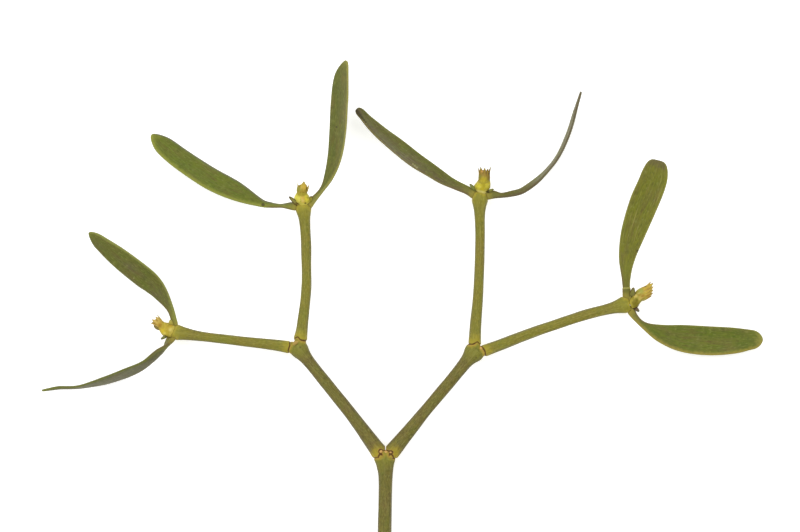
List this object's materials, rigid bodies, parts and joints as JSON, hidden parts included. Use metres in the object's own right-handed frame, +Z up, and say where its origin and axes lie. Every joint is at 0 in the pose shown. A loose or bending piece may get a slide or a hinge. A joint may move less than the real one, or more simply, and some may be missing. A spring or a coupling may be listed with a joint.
{
  "type": "mistletoe sprig",
  "caption": "Cut mistletoe sprig lying flat: a forked jointed stem with paired leathery leaves and a small yellow flower head between the leaves of each shoot.",
  "frame": {"origin": "middle of the bounding box in X and Y, on the surface that the sprig lies on", "axes": "+Z up from the surface; the cut end of the stem points along -Y and the shoots spread towards +Y; +X runs across the spread, to the right when the cut end points towards the viewer"},
  "size_m": [0.2408, 0.1682, 0.0138],
  "materials": {
    "stem": "smooth green bark with fine lengthwise wrinkles, slightly waxy",
    "young_stem": "smooth yellow green bark, slightly waxy",
    "leaf": "leathery olive green leaf with faint lengthwise veins and yellow green margins, satin",
    "flower_cup": "fleshy yellow, satin",
    "flower_crown": "fleshy golden yellow with brown tips, matte",
    "bract_scale": "dry grey brown scale, matte"
  },
  "bodies": {
    "root": {"stem_main": "stem", "stem_left": "stem", "stem_right": "stem", "stem_left_outer": "young_stem", "stem_left_inner": "young_stem", "stem_right_inner": "young_stem", "stem_right_outer": "young_stem", "leaf_left_upper": "leaf", "leaf_left_lower": "leaf", "leaf_upper_left_outer": "leaf", "leaf_upper_left_inner": "leaf", "leaf_upper_right_inner": "leaf", "leaf_upper_right_outer": "leaf", "leaf_right_upper": "leaf", "leaf_right_lower": "leaf", "flower_cup_left": "flower_cup", "flower_cup_upper_left": "flower_cup", "flower_cup_upper_right": "flower_cup", "flower_cup_right": "flower_cup", "flower_crown_left": "flower_crown", "flower_crown_upper_left": "flower_crown", "flower_crown_upper_right": "flower_crown", "flower_crown_right": "flower_crown", "scale_left_1": "bract_scale", "scale_left_2": "bract_scale", "scale_upper_left_1": "bract_scale", "scale_upper_left_2": "bract_scale", "scale_upper_right_1": "bract_scale", "scale_upper_right_2": "bract_scale", "scale_right_1": "bract_scale", "scale_right_2": "bract_scale"}
  },
  "joints": []
}
